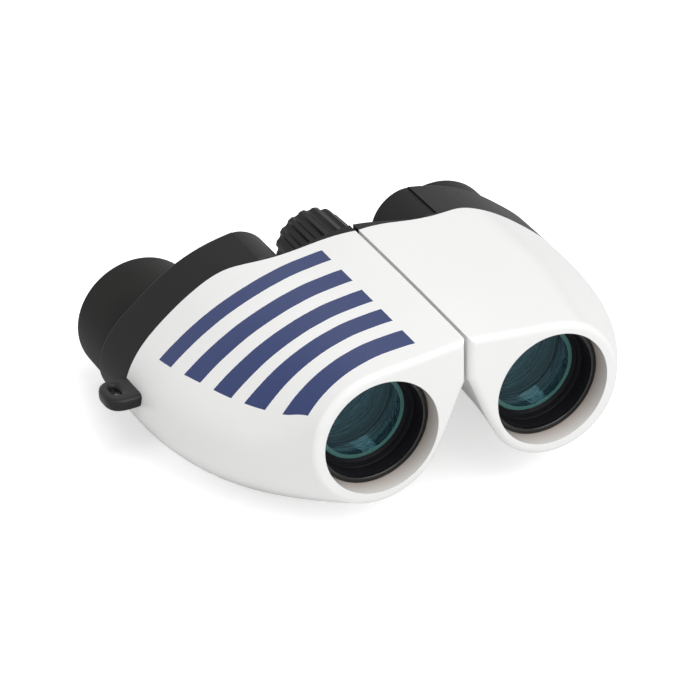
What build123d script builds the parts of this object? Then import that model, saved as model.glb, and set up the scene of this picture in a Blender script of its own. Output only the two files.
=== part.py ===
"""Compact reverse-porro binoculars with a centre hinge, internal focusing and a dioptre ring.

Sizes are in millimetres.  While modelling, x = 0 is the seam between the halves, y = 0 the front face,
with the eyepieces towards +y, and z = 0 the height of the objective axes.  Each handed piece is modelled
once, on the user's left side (+x), and mirrored.  At the end everything moves so that the origin is below
the middle of the whole thing, on the surface that it stands on.
"""

import math
import os

from build123d import *

# ---------------------------------------------------------------- driving dimensions

# the pair
objective_spacing = 35.3
eyepiece_spacing = 65.6
eyepiece_drop = 9.45  # eyepiece axes below the objective axes
hinge_rise = 3.5  # hinge axis above the objective axes
seam_gap = 0.7  # between the flat inner walls of the halves
running = 0.05  # radial clearance of a running fit
seat_gap = 0.1  # clearance where one moulding seats in another

# outer form of one half
ring_radius = 13.6  # round front end about the objective
centre_top = 15.45  # top and foot of the flat inner wall at the front
centre_foot = 6.65
growth_depth = 48.0  # depth at which the half has reached its full outline
growth_power = 2.4
cover_back = 60.5
cover_round = 0.9
wall = 1.5
front_wall = 2.5
front_round = 1.4

# hood and objective
hood_radius = 11.5
hood_depth = 4.5  # from the front face to the objective tube
sleeve_wall = 1.1
sleeve_depth = 8.0
tube_radius = 10.85
tube_wall = 0.55
tube_back = 22.0
tube_lip_step = 0.2  # how far the seat of the tube's lip lies inside the hood
tube_lip = 1.2
cell_front = 7.4
cell_back = 19.0
cell_wall = 0.75
lens_vertex = 9.3
crown_thickness = 3.9
flint_thickness = 1.4
lens_bulge = 1.1
ring_width = 0.55
ring_front = 7.9
shoulder_width = 0.6
baffle_front = 20.5
baffle_back = 41.0
baffle_end_bore = 4.6
baffle_steps = 9
baffle_wall = 0.6
baffle_flange = 1.2

# hinge and focusing
knuckle_radius = 4.0
knuckle_gap = 0.3
hinge_block_radius = 5.6
pocket_front = 8.6
knuckle_front = 19.6
knuckle_length = 5.0
washer_thickness = 0.8
middle_knuckle_length = 10.8
rear_knuckle_length = 6.6
hinge_tube_radius = 2.5
hinge_tube_back = 46.2
hinge_nut_thickness = 2.0
hinge_head_thickness = 0.8
hinge_nut_radius = 3.4
cover_notch_radius = 3.9
spindle_radius = 1.5
spindle_front = 9.0
spindle_back = 62.0
focus_forward = 2.4  # travel of the objectives to the near limit, and past infinity
focus_back = 0.4
nut_front = 11.6
nut_flange_thickness = 0.8
nut_flange_radius = 3.6
nut_hub_radius = 2.6
nut_hub_back = 17.8
arm_thickness = 2.0
arm_width = 6.0
arm_ring_radius = 3.8
arm_gap = 0.3
clip_thickness = 0.6
clip_radius = 3.0
groove_radius = 1.15

# focus wheel
wheel_front = 47.1
wheel_back = 65.8
wheel_front_radius = 7.9
wheel_back_radius = 7.3
wheel_valley = 6.65
wheel_ribs = 16
flute_radius = 0.95
wheel_wall = 1.7
wheel_hub_radius = 3.4
wheel_web_front = 58.0
wheel_web_back = 62.6
wheel_cap_radius = 5.5
wheel_cap_thickness = 1.0
wheel_cap_recess = 0.5
wheel_cap_ledge = 0.5
wheel_screw_head_radius = 2.6
wheel_screw_head = 1.2
wheel_screw_radius = 0.8
wheel_screw_length = 5.0

# rear cover
lip_thickness = 0.9
lip_back = 50.5
flange_back = 46.8
bay_wall = 11.0  # inner wall of the lobe beside the focus wheel
bay_round = 8.0
bay_blend = 2.5
lobe_top = 12.9
rear_wall = 1.5
boss_radius = 11.0
boss_front = 57.0
boss_back = 63.6

# prisms
prism_plate_front = 43.0
prism_plate_thickness = 2.0
prism_half_width = 3.7
prism_relief = 0.35
prism_apex_flat = 0.8
plate_hole_radius = 3.4
post_radius = 1.8
post_spots = [(21.0, -9.0), (37.4, 1.1), (17.0, 8.5)]
post_screw_radius = 0.7
post_screw_length = 6.0
screw_head = 1.2
screw_head_radius = 1.5
strap_thickness = 0.8
strap_width = 3.0
strap_toe = 0.8

# cover screws
cover_screw_spots = [(23.0, 9.4), (20.8, -14.6)]
cover_screw_seat = 50.0
cover_screw_radius = 0.9
cover_screw_tip = 41.0
well_radius = 1.8
well_wall = 0.9
shell_boss_radius = 2.2
shell_boss_front = 38.0
shell_boss_back = 47.0

# eyepiece
eyecup_radius = 12.6
eyecup_wall = 0.85
eyecup_floor_gap = 0.5
eyecup_hollow = 5.7
eyecup_floor_thickness = 1.0
eyecup_floor_bore = 9.7
eyecup_rim_wall = 1.6
eyecup_rim_round = 0.7
collar_gap = 0.3
collar_web_front = 63.9
collar_web_back = 65.4
collar_wall = 0.85
eyepiece_radius = 9.3
eyepiece_bore = 8.5
eyepiece_front = 56.2
eyepiece_back = 70.0
field_stop_front = 56.5
field_stop_bore = 5.5
field_stop_thickness = 0.8
field_lens_thickness = 3.2
eye_lens_front = 64.6
eye_lens_thickness = 3.8
eyepiece_lens_radius = 8.45
eyepiece_bulge = 1.2
eye_ring_thickness = 1.1
eye_ring_bore = 7.1
spacer_bore = 7.7

# strap lug, on the user's right half
lug_length = 9.0  # from its root to its outermost edge
lug_front = 40.9
lug_back = 49.4
lug_top = -4.9
lug_thickness = 2.6
lug_corner = 2.8
lug_under_round = 1.2
lug_top_round = 0.5
lug_neck_inset = 0.3
lug_root = 44.4  # inner end of the part that passes through the wall
lug_head_thickness = 1.1
lug_head_overlap = 1.0
neck_back = 47.5
slot_length = 4.6
slot_width = 2.2
slot_inset = 2.8  # middle of the slot from the outermost edge
slot_middle = 45.6

# ---------------------------------------------------------------- worked-out places

half_seam = seam_gap / 2
objective_centre = (objective_spacing / 2, 0)
eyepiece_centre = (eyepiece_spacing / 2, -eyepiece_drop)
hinge_centre = (0, hinge_rise)
form_depths = [growth_depth * step / 6 for step in range(7)]
form_depths += [(growth_depth + cover_back) / 2, cover_back]

# outline of one half at the front, clockwise from the top of the flat inner wall round the objective
front_outline = [
    (half_seam, centre_top),
    (6.0, 14.87),
    (12.5, 14.2),
    *[
        (
            objective_centre[0] + ring_radius * math.cos(math.radians(angle)),
            ring_radius * math.sin(math.radians(angle)),
        )
        for angle in (84, 60, 35, 10, -15, -40, -65, -90, -115, -138, -158.2)
    ],
    (2.6, 1.0),
    (half_seam, centre_foot),
]

# full outline of one half from growth_depth back, clockwise from the top of the flat wall
rear_outline = [
    (half_seam, 16.3),
    (6.0, 15.5),
    (12.5, 14.2),
    (19.0, 13.3),
    (24.8, 12.1),
    (32.0, 9.1),
    (39.5, 3.8),
    (45.9, -2.8),
    (47.5, -10.0),
    (44.1, -15.5),
    (38.7, -19.9),
    (30.0, -22.0),
    (20.4, -18.9),
    (13.0, -12.0),
    (4.5, -1.0),
    (half_seam, 6.0),
]

# seam between the front shell and the rear cover, seen from above: (x, depth)
parting_line = [
    (-1.0, 44.1),
    (half_seam, 44.4),
    (7.0, 45.8),
    (12.0, 46.4),
    (17.0, 47.0),
    (21.0, 48.1),
    (25.0, 49.5),
    (32.0, 49.7),
    (42.0, 49.3),
    (50.0, 47.4),
]

# knuckles along the hinge: two on the right half, one between them on the left half
middle_front = knuckle_front + knuckle_length + washer_thickness
middle_back = middle_front + middle_knuckle_length
rear_front = middle_back + washer_thickness
rear_back = rear_front + rear_knuckle_length
right_knuckles = [(knuckle_front, knuckle_front + knuckle_length), (rear_front, rear_back)]
left_knuckles = [(middle_front, middle_back)]

# beam centres: the objective, between the prisms, and the eyepiece
beam_in = Vector(*objective_centre)
beam_out = Vector(*eyepiece_centre)
beam_middle = (beam_in + beam_out) / 2 + Vector(beam_in.Y - beam_out.Y, beam_out.X - beam_in.X) / 2
plate_back = prism_plate_front + prism_plate_thickness

# arms reach from the hinge axis to the objective cell
arm_reach = math.hypot(objective_centre[0], hinge_rise)
arm_turn = math.degrees(math.atan2(-hinge_rise, objective_centre[0]))
arm_place = Location((objective_centre[0] / 2, hinge_rise / 2), arm_turn)
left_arm_front = nut_front + nut_flange_thickness + arm_gap
right_arm_front = left_arm_front + arm_thickness + arm_gap
slot_front = left_arm_front - focus_forward - arm_gap
slot_back = right_arm_front + arm_thickness + focus_back + arm_gap
tube_bore = tube_radius - tube_wall
cell_radius = tube_bore - running
lens_radius = cell_radius - cell_wall

eyecup_front = cover_back + collar_gap
eyecup_grip = eyecup_radius - eyecup_wall
eyecup_floor = eyepiece_back + eyecup_floor_gap
eyecup_back = eyecup_floor + eyecup_hollow
collar_back = eyecup_floor - eyecup_floor_thickness - seat_gap
cap_front = wheel_back - wheel_cap_recess - wheel_cap_thickness
screw_tip = wheel_web_back - wheel_screw_length
field_stop_back = field_stop_front + field_stop_thickness
lens_seat = lens_vertex + crown_thickness + flint_thickness
tube_seat_radius = hood_radius - tube_lip_step
tube_seat_back = hood_depth + tube_lip
strap_middle = prism_half_width + running + strap_thickness / 2
lug_reach = lug_root + lug_length
slot_centre = (lug_reach - slot_inset, slot_middle)
neck_front = lug_front + 1.0

pieces = {}


def at(depth):
    """Plane across the binoculars at a depth, with local x and y along x and z."""
    return Plane.XZ.offset(-depth)


def pair(name, piece):
    """Keeps a piece of the left half and its mirror image for the right half."""
    pieces["left_" + name] = piece
    pieces["right_" + name] = mirror(piece, about=Plane.YZ)


def face_depth(vertex, bulge, radius, reached):
    """Depth of a round lens face at a smaller radius, from its vertex and its bulge over its radius."""
    curve = (radius**2 + bulge**2) / (2 * bulge)
    return vertex + curve - math.copysign(math.sqrt(curve**2 - reached**2), bulge)


def outline(depth, inset=0.0):
    """Corner points of one half's outline at a depth, moved inwards by inset."""
    grown = 1 - (1 - min(max(depth / growth_depth, 0), 1)) ** growth_power
    points = [Vector(*f) * (1 - grown) + Vector(*r) * grown for f, r in zip(front_outline, rear_outline)]
    moved = []
    for before, here, after in zip(points[-1:] + points[:-1], points, points[1:] + points[:1]):
        arriving = (here - before).normalized()
        leaving = (after - here).normalized()
        inwards = Vector(arriving.Y + leaving.Y, -arriving.X - leaving.X)
        moved.append(here + inwards * (inset / (1 + arriving.dot(leaving))))
    return moved


def half_outline(depth, inset=0.0):
    """Face across one half at a depth: a curve from the top of the flat inner wall round to its foot."""
    points = outline(depth, inset)
    with BuildSketch(at(depth)) as face:
        with BuildLine():
            Spline(*[(p.X, p.Y) for p in points])
            Line((points[-1].X, points[-1].Y), (points[0].X, points[0].Y))
        make_face()
    return face.sketch


def rod(centre, front, back, radius, bore=0.0):
    """Round bar or tube along y between two depths."""
    with BuildPart() as piece:
        with BuildSketch(at(front)):
            with Locations(centre):
                Circle(radius)
                if bore:
                    Circle(bore, mode=Mode.SUBTRACT)
        extrude(amount=front - back)
    return piece.part


def turned(centre, *profile):
    """Turned piece about an axis along y, from the (radius, depth) corners of its profile."""
    with BuildPart() as piece:
        with BuildSketch(Plane.XY.offset(centre[1])):
            with BuildLine():
                Polyline(*[(centre[0] + radius, depth) for radius, depth in profile], close=True)
            make_face()
        revolve(axis=Axis((centre[0], 0, centre[1]), (0, 1, 0)))
    return piece.part


def lens(centre, radius, front, front_bulge, back, back_bulge):
    """Round lens between two vertices; a bulge is how far a face's rim lies behind its vertex."""
    inner, outer = centre[0], centre[0] + radius
    with BuildPart() as piece:
        with BuildSketch(Plane.XY.offset(centre[1])):
            with BuildLine():
                for vertex, bulge in ((front, front_bulge), (back, back_bulge)):
                    if bulge:
                        TangentArc((inner, vertex), (outer, vertex + bulge), tangent=(1, 0))
                    else:
                        Line((inner, vertex), (outer, vertex))
                Line((outer, front + front_bulge), (outer, back + back_bulge))
                Line((inner, front), (inner, back))
            make_face()
        revolve(axis=Axis((centre[0], 0, centre[1]), (0, 1, 0)))
    return piece.part


# ---------------------------------------------------------------- whole half, and its parting

with BuildPart() as half:
    for depth in form_depths:
        add(half_outline(depth))
    loft()
    fillet(half.faces().sort_by(Axis.Y)[0].edges(), front_round)
    fillet(half.faces().sort_by(Axis.Y)[-1].edges(), cover_round)

with BuildPart() as cavity:
    for depth in [front_wall] + form_depths[1:-1]:
        add(half_outline(depth, wall))
    loft()

with BuildPart() as behind_parting:
    with BuildSketch(Plane.XY.offset(-3 * ring_radius)):
        with BuildLine():
            Spline(*parting_line, tangents=[(1, 0.15), (1, -0.3)])
            Polyline(
                parting_line[-1],
                (parting_line[-1][0], eyecup_back),
                (parting_line[0][0], eyecup_back),
                parting_line[0],
            )
        make_face()
    extrude(amount=6 * ring_radius)

# ---------------------------------------------------------------- front shells

with BuildPart() as arm_slot:
    with BuildSketch(at(slot_front)):
        with Locations(arm_place):
            Rectangle(arm_reach, arm_width + 2 * arm_gap)
    extrude(amount=slot_front - slot_back)


def front_shell(own_knuckles, other_knuckles):
    """White moulding of one half: hollow body, hood, hinge knuckles and screw bosses."""
    with BuildPart() as inner:
        add(rod(objective_centre, front_wall / 2, sleeve_depth, hood_radius + sleeve_wall))
        add(rod(hinge_centre, pocket_front - wall, rear_back, hinge_block_radius))
        for spot in cover_screw_spots:
            add(rod(spot, shell_boss_front, shell_boss_back, shell_boss_radius))
        add(half.part, mode=Mode.INTERSECT)
    with BuildPart() as shell:
        add(half.part)
        add(cavity.part, mode=Mode.SUBTRACT)
        add(behind_parting.part, mode=Mode.SUBTRACT)
        add(inner.part)
        for front, back in own_knuckles:
            add(rod(hinge_centre, front - knuckle_gap, back + knuckle_gap, knuckle_radius))
        # room for the other half's knuckles, the focusing nut and the nut of the hinge tube
        rooms = [(front - washer_thickness, back + washer_thickness) for front, back in other_knuckles]
        for front, back in rooms + [(pocket_front, knuckle_front), (rear_back, lip_back)]:
            add(rod(hinge_centre, front, back, knuckle_radius + knuckle_gap), mode=Mode.SUBTRACT)
        bore = hinge_tube_radius + running
        add(rod(hinge_centre, pocket_front, lip_back, bore), mode=Mode.SUBTRACT)
        # hood and the bore that holds the objective tube
        add(rod(objective_centre, 0, hood_depth, hood_radius), mode=Mode.SUBTRACT)
        add(rod(objective_centre, hood_depth, tube_seat_back, tube_seat_radius), mode=Mode.SUBTRACT)
        add(rod(objective_centre, tube_seat_back, tube_back, tube_radius + running), mode=Mode.SUBTRACT)
        add(arm_slot.part, mode=Mode.SUBTRACT)
        for spot in cover_screw_spots:
            add(rod(spot, cover_screw_tip, lip_back, cover_screw_radius), mode=Mode.SUBTRACT)
    return shell.part


pieces["left_front_shell"] = front_shell(left_knuckles, right_knuckles)
right_shell = front_shell(right_knuckles, left_knuckles)

# ---------------------------------------------------------------- strap lug, modelled on +x

lug_foot = lug_top - lug_thickness
neck_middle = (neck_front + neck_back) / 2
notch_back = parting_line[-1][1] + lug_neck_inset
neck_outer = lug_root + 3 * wall

with BuildPart() as lug:
    with BuildSketch(Plane.XY.offset(lug_foot)):
        with Locations(((lug_root + lug_reach) / 2, (lug_front + lug_back) / 2)):
            Rectangle(lug_reach - lug_root, lug_back - lug_front)
        fillet(vertices().group_by(Axis.X)[-1], lug_corner)
    extrude(amount=lug_thickness)
    for face, rounding in ((0, lug_under_round), (-1, lug_top_round)):
        around = faces().sort_by(Axis.Z)[face].edges()
        fillet(around.filter_by_position(Axis.X, lug_root + 1, lug_reach), rounding)
    with BuildSketch(Plane.XY.offset(lug_foot)):
        with Locations(slot_centre):
            SlotOverall(slot_length, slot_width, rotation=90)
    extrude(amount=lug_thickness, mode=Mode.SUBTRACT)
    add(half.part, mode=Mode.SUBTRACT)
    # neck through the wall of the shell, and the head that holds it inside
    with BuildSketch(Plane.XY.offset(lug_foot + lug_neck_inset)):
        with Locations(((lug_root + neck_outer) / 2, neck_middle)):
            Rectangle(neck_outer - lug_root, neck_back - neck_front)
    extrude(amount=lug_thickness - 2 * lug_neck_inset)
    with BuildSketch(Plane.XY.offset(lug_foot - lug_head_overlap)):
        with Locations((lug_root - lug_head_thickness / 2, neck_middle)):
            Rectangle(lug_head_thickness, neck_back - neck_front + 2 * lug_head_overlap)
    extrude(amount=lug_thickness + 2 * lug_head_overlap)

with BuildPart() as lug_notch:
    with BuildSketch(Plane.XY.offset(lug_foot + lug_neck_inset - seat_gap)):
        with Locations(((lug_root + neck_outer) / 2, (neck_front + notch_back) / 2)):
            Rectangle(neck_outer - lug_root + wall, notch_back - neck_front + 2 * seat_gap)
    extrude(amount=lug_thickness - 2 * lug_neck_inset + 2 * seat_gap)

with BuildPart() as lug_room:
    with BuildSketch(Plane.XY.offset(lug_foot - lug_head_overlap - seat_gap)):
        with Locations((lug_root - lug_head_thickness / 2, neck_middle)):
            Rectangle(
                lug_head_thickness + 2 * seat_gap,
                neck_back - neck_front + 2 * (lug_head_overlap + seat_gap),
            )
    extrude(amount=lug_thickness + 2 * (lug_head_overlap + seat_gap))

with BuildPart() as right_front_shell:
    add(right_shell)
    add(lug_notch.part, mode=Mode.SUBTRACT)

pieces["right_front_shell"] = mirror(right_front_shell.part, about=Plane.YZ)
pieces["strap_lug"] = mirror(lug.part, about=Plane.YZ)

# ---------------------------------------------------------------- rear covers

lip_edge = wall + seat_gap
tongue_back = lip_back - wall / 2

with BuildPart() as bay_room:
    with BuildSketch(at(flange_back)):
        with BuildLine():
            CenterArc((bay_wall + bay_round, lobe_top - bay_round), bay_round, 90, 90)
            Polyline(
                (bay_wall, lobe_top - bay_round),
                (bay_wall, -eyecup_back),
                (-knuckle_radius, -eyecup_back),
                (-knuckle_radius, eyecup_back),
                (bay_wall + bay_round, eyecup_back),
                (bay_wall + bay_round, lobe_top),
            )
        make_face()
    extrude(amount=flange_back - eyecup_back)
    around = faces().sort_by(Axis.Y)[0].edges()
    fillet(around.filter_by_position(Axis.X, bay_wall - 1, bay_wall + bay_round - 0.1), bay_blend)

with BuildPart() as bay_skin:
    with BuildSketch(at(plate_back)):
        with BuildLine():
            CenterArc((bay_wall + bay_round, lobe_top - bay_round), bay_round - rear_wall, 90, 90)
            Polyline(
                (bay_wall + rear_wall, lobe_top - bay_round),
                (bay_wall + rear_wall, -eyecup_back),
                (-knuckle_radius, -eyecup_back),
                (-knuckle_radius, eyecup_back),
                (bay_wall + bay_round, eyecup_back),
                (bay_wall + bay_round, lobe_top - rear_wall),
            )
        make_face()
    extrude(amount=plate_back - eyecup_back)

with BuildPart() as hollow:
    with BuildSketch(at(plate_back - prism_plate_thickness)):
        add(half_outline(growth_depth, lip_edge + lip_thickness))
    extrude(amount=plate_back - prism_plate_thickness - tongue_back)
    with BuildSketch(at(tongue_back)):
        add(half_outline(growth_depth, rear_wall))
    extrude(amount=tongue_back - cover_back + rear_wall)
    add(bay_skin.part, mode=Mode.SUBTRACT)

# posts for the prism plate, and wells for the screws
with BuildPart() as cover_posts:
    for spot in post_spots:
        add(rod(spot, plate_back, cover_back - rear_wall / 2, post_radius))
    for spot in cover_screw_spots:
        add(rod(spot, shell_boss_back, cover_back - rear_wall / 2, well_radius + well_wall))
    with BuildSketch(at(plate_back)):
        add(half_outline(plate_back, lip_edge))
    extrude(amount=plate_back - cover_back, mode=Mode.INTERSECT)

with BuildPart() as left_rear_cover:
    add(half.part)
    add(behind_parting.part, mode=Mode.INTERSECT)
    with BuildSketch(at(plate_back)):
        add(half_outline(plate_back, lip_edge))
    extrude(amount=plate_back - lip_back)
    add(hollow.part, mode=Mode.SUBTRACT)
    add(cover_posts.part)
    add(rod(eyepiece_centre, boss_front, boss_back, boss_radius))
    add(bay_room.part, mode=Mode.SUBTRACT)
    for spot in post_spots:
        add(rod(spot, plate_back, plate_back + post_screw_length, post_screw_radius), mode=Mode.SUBTRACT)
    for spot in cover_screw_spots:
        add(rod(spot, plate_back, shell_boss_back, shell_boss_radius + knuckle_gap), mode=Mode.SUBTRACT)
        add(rod(spot, shell_boss_back, cover_screw_seat, cover_screw_radius + running), mode=Mode.SUBTRACT)
        add(rod(spot, cover_screw_seat, cover_back, well_radius), mode=Mode.SUBTRACT)
    add(rod(eyepiece_centre, boss_front, boss_back, eyepiece_radius + running), mode=Mode.SUBTRACT)
    add(rod(hinge_centre, plate_back - wall, flange_back, cover_notch_radius), mode=Mode.SUBTRACT)


with BuildPart() as right_rear_cover:
    add(left_rear_cover.part)
    add(lug_room.part, mode=Mode.SUBTRACT)
    add(lug_notch.part, mode=Mode.SUBTRACT)

pieces["left_rear_cover"] = left_rear_cover.part
pieces["right_rear_cover"] = mirror(right_rear_cover.part, about=Plane.YZ)

for side in (1, -1):
    with BuildPart() as cover_screws:
        for x, z in cover_screw_spots:
            add(rod((side * x, z), cover_screw_tip, cover_screw_seat, cover_screw_radius))
            add(rod((side * x, z), cover_screw_seat, cover_screw_seat + screw_head, screw_head_radius))
    pieces[("left" if side > 0 else "right") + "_cover_screws"] = cover_screws.part

# ---------------------------------------------------------------- hinge

with BuildPart() as hinge_tube:
    add(rod(hinge_centre, knuckle_front - hinge_head_thickness, knuckle_front, hinge_nut_radius))
    add(rod(hinge_centre, knuckle_front, hinge_tube_back, hinge_tube_radius))
    bore = spindle_radius + running
    add(rod(hinge_centre, pocket_front, hinge_tube_back, bore), mode=Mode.SUBTRACT)

with BuildPart() as hinge_washers:
    for front in (middle_front - washer_thickness, middle_back):
        add(rod(hinge_centre, front, front + washer_thickness, knuckle_radius, hinge_tube_radius))

with BuildPart() as hinge_nut:
    with BuildSketch(at(rear_back)):
        with Locations(hinge_centre):
            RegularPolygon(hinge_nut_radius, 6)
            Circle(hinge_tube_radius, mode=Mode.SUBTRACT)
    extrude(amount=-hinge_nut_thickness)

pieces["hinge_tube"] = hinge_tube.part
pieces["hinge_washers"] = hinge_washers.part
pieces["hinge_nut"] = hinge_nut.part

# ---------------------------------------------------------------- focusing: spindle, nut, arms and wheel

with BuildPart() as focus_spindle:
    add(rod(hinge_centre, spindle_front, spindle_back, spindle_radius))
    clip_back = hinge_tube_back + clip_thickness
    groove = rod(hinge_centre, hinge_tube_back, clip_back, spindle_radius, groove_radius)
    add(groove, mode=Mode.SUBTRACT)
    add(rod(hinge_centre, screw_tip, spindle_back, wheel_screw_radius), mode=Mode.SUBTRACT)

with BuildPart() as spindle_clip:
    with BuildSketch(at(hinge_tube_back)):
        with Locations(hinge_centre):
            Circle(clip_radius)
            Circle(groove_radius, mode=Mode.SUBTRACT)
        with Locations((0, hinge_rise - clip_radius / 2)):
            Rectangle(2 * groove_radius * 0.9, clip_radius, mode=Mode.SUBTRACT)
    extrude(amount=-clip_thickness)

with BuildPart() as focus_nut:
    add(rod(hinge_centre, nut_front, nut_front + nut_flange_thickness, nut_flange_radius))
    add(rod(hinge_centre, nut_front, nut_hub_back, nut_hub_radius))
    add(rod(hinge_centre, nut_front, nut_hub_back, spindle_radius + running), mode=Mode.SUBTRACT)


def focus_arm(front, bore):
    """Arm from the focusing nut to the objective cell."""
    with BuildPart() as arm:
        with BuildSketch(at(front)):
            with Locations(hinge_centre):
                Circle(arm_ring_radius)
            with Locations(arm_place):
                Rectangle(arm_reach, arm_width)
            with Locations(hinge_centre):
                Circle(bore, mode=Mode.SUBTRACT)
            with Locations(objective_centre):
                Circle(cell_radius, mode=Mode.SUBTRACT)
        extrude(amount=-arm_thickness)
    return arm.part


with BuildPart() as focus_wheel:
    recess = wheel_valley - wheel_wall
    add(
        turned(
            hinge_centre,
            (spindle_radius, wheel_front),
            (wheel_hub_radius, wheel_front),
            (wheel_hub_radius, wheel_web_front),
            (recess, wheel_web_front),
            (recess, wheel_front),
            (wheel_front_radius, wheel_front),
            (wheel_back_radius, wheel_back),
            (wheel_cap_radius, wheel_back),
            (wheel_cap_radius, cap_front),
            (wheel_cap_radius - wheel_cap_ledge, cap_front),
            (wheel_cap_radius - wheel_cap_ledge, wheel_web_back),
            (wheel_screw_radius, wheel_web_back),
            (wheel_screw_radius, spindle_back),
            (spindle_radius, spindle_back),
        )
    )
    with BuildSketch(at(wheel_front)):
        with Locations(hinge_centre):
            with PolarLocations(wheel_valley + flute_radius, wheel_ribs):
                Circle(flute_radius)
    extrude(amount=wheel_front - wheel_back, mode=Mode.SUBTRACT)

with BuildPart() as wheel_screw:
    add(rod(hinge_centre, screw_tip, wheel_web_back, wheel_screw_radius))
    add(rod(hinge_centre, wheel_web_back, wheel_web_back + wheel_screw_head, wheel_screw_head_radius))

pieces["focus_spindle"] = focus_spindle.part
pieces["spindle_clip"] = spindle_clip.part
pieces["focus_nut"] = focus_nut.part
pieces["left_focus_arm"] = focus_arm(left_arm_front, nut_hub_radius + running)
pieces["right_focus_arm"] = mirror(focus_arm(right_arm_front, nut_hub_radius), about=Plane.YZ)
pieces["focus_wheel"] = focus_wheel.part
pieces["wheel_screw"] = wheel_screw.part
pieces["wheel_cap"] = rod(hinge_centre, cap_front, cap_front + wheel_cap_thickness, wheel_cap_radius)

# ---------------------------------------------------------------- objectives

with BuildPart() as objective_tube:
    add(rod(objective_centre, hood_depth, tube_back, tube_radius))
    add(rod(objective_centre, hood_depth, tube_seat_back, tube_seat_radius - running))
    add(rod(objective_centre, hood_depth, tube_back, tube_bore), mode=Mode.SUBTRACT)
    add(arm_slot.part, mode=Mode.SUBTRACT)

with BuildPart() as objective_cell:
    add(rod(objective_centre, cell_front, cell_back, cell_radius))
    add(rod(objective_centre, cell_front, lens_seat, lens_radius + running), mode=Mode.SUBTRACT)
    add(rod(objective_centre, lens_seat, cell_back, lens_radius - shoulder_width), mode=Mode.SUBTRACT)

ring_bore = lens_radius - ring_width
ring_back = face_depth(lens_vertex, lens_bulge, lens_radius, ring_bore)
cement = lens_vertex + crown_thickness
pair("objective_tube", objective_tube.part)
pair("objective_cell", objective_cell.part)
pair("objective_ring", rod(objective_centre, ring_front, ring_back, lens_radius, ring_bore))
pair("crown_lens", lens(objective_centre, lens_radius, lens_vertex, lens_bulge, cement, -lens_bulge))
pair("flint_lens", lens(objective_centre, lens_radius, cement, -lens_bulge, lens_seat, 0))

# stepped cone that keeps light off the inside of the shell
baffle_bore = lens_radius - shoulder_width
rise = (baffle_bore - baffle_end_bore) / baffle_steps
run = (baffle_back - baffle_front) / (baffle_steps + 1)
inside = []
outside = []
for step in range(baffle_steps + 1):
    bore = baffle_bore - rise * step
    front = baffle_front + run * step
    inside += [(bore, front), (bore, front + run)]
    outside += [(bore + baffle_wall, front), (bore + baffle_wall, front + run + baffle_wall)]
outside[0] = (baffle_bore + baffle_wall, baffle_front + baffle_flange)
outside[-1] = (baffle_end_bore + baffle_wall, baffle_back)
flange = [(tube_bore, baffle_front + baffle_flange), (tube_bore, baffle_front)]
pair("baffle", turned(objective_centre, *inside, *reversed(outside), *flange))

# ---------------------------------------------------------------- prisms, their plate and their straps


def prism_parts(first, second, base, sense):
    """Roofed prism over two beam centres, based at a depth, and the strap that holds it on its plate."""
    middle = (first + second) / 2
    along = (second - first).normalized()
    turn = math.degrees(math.atan2(along.Y, along.X))
    reach = (second - first).length / 2 + prism_half_width
    height = reach + prism_relief - prism_apex_flat
    with BuildPart() as prism:
        with BuildSketch(at(base)):
            with Locations(Location((middle.X, middle.Y), turn)):
                SlotOverall(2 * reach, 2 * prism_half_width)
        extrude(amount=-sense * height)
        with BuildSketch(Plane((middle.X, base, middle.Y), (along.X, 0, along.Y), (-along.Y, 0, along.X))):
            with BuildLine():
                Polyline(
                    (-reach - prism_relief, 0),
                    (reach + prism_relief, 0),
                    (prism_apex_flat, sense * height),
                    (-prism_apex_flat, sense * height),
                    close=True,
                )
            make_face()
        extrude(amount=2 * prism_half_width, both=True, mode=Mode.INTERSECT)
    inner = prism_half_width + running
    outer = inner + strap_thickness
    toe = outer + strap_toe
    below = prism_plate_thickness + strap_thickness
    half_strap = [
        (inner, height),
        (inner, -below),
        (toe, -below),
        (toe, -prism_plate_thickness),
        (outer, -prism_plate_thickness),
        (outer, height + strap_thickness),
    ]
    corners = half_strap + [(-side, up) for side, up in reversed(half_strap)]
    with BuildPart() as strap:
        across = (-along.Y, 0, along.X)
        with BuildSketch(Plane((middle.X, base, middle.Y), across, (-along.X, 0, -along.Y))):
            with BuildLine():
                Polyline(*[(side, sense * up) for side, up in corners], close=True)
            make_face()
        extrude(amount=strap_width / 2, both=True)
    return prism.part, strap.part


rear_prism, rear_strap = prism_parts(beam_in, beam_middle, plate_back, 1)
front_prism, front_strap = prism_parts(beam_middle, beam_out, prism_plate_front, -1)
pair("rear_prism", rear_prism)
pair("front_prism", front_prism)

with BuildPart() as prism_straps:
    add(rear_strap)
    add(front_strap)

pair("prism_straps", prism_straps.part)

with BuildPart() as strap_slots:
    for first, second in ((beam_in, beam_middle), (beam_middle, beam_out)):
        middle = (first + second) / 2
        along = second - first
        with BuildSketch(at(prism_plate_front)):
            with Locations(Location((middle.X, middle.Y), math.degrees(math.atan2(along.Y, along.X)))):
                with Locations((0, strap_middle), (0, -strap_middle)):
                    Rectangle(strap_width + 2 * seat_gap, strap_thickness + 2 * seat_gap)
        extrude(amount=-prism_plate_thickness)

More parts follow.
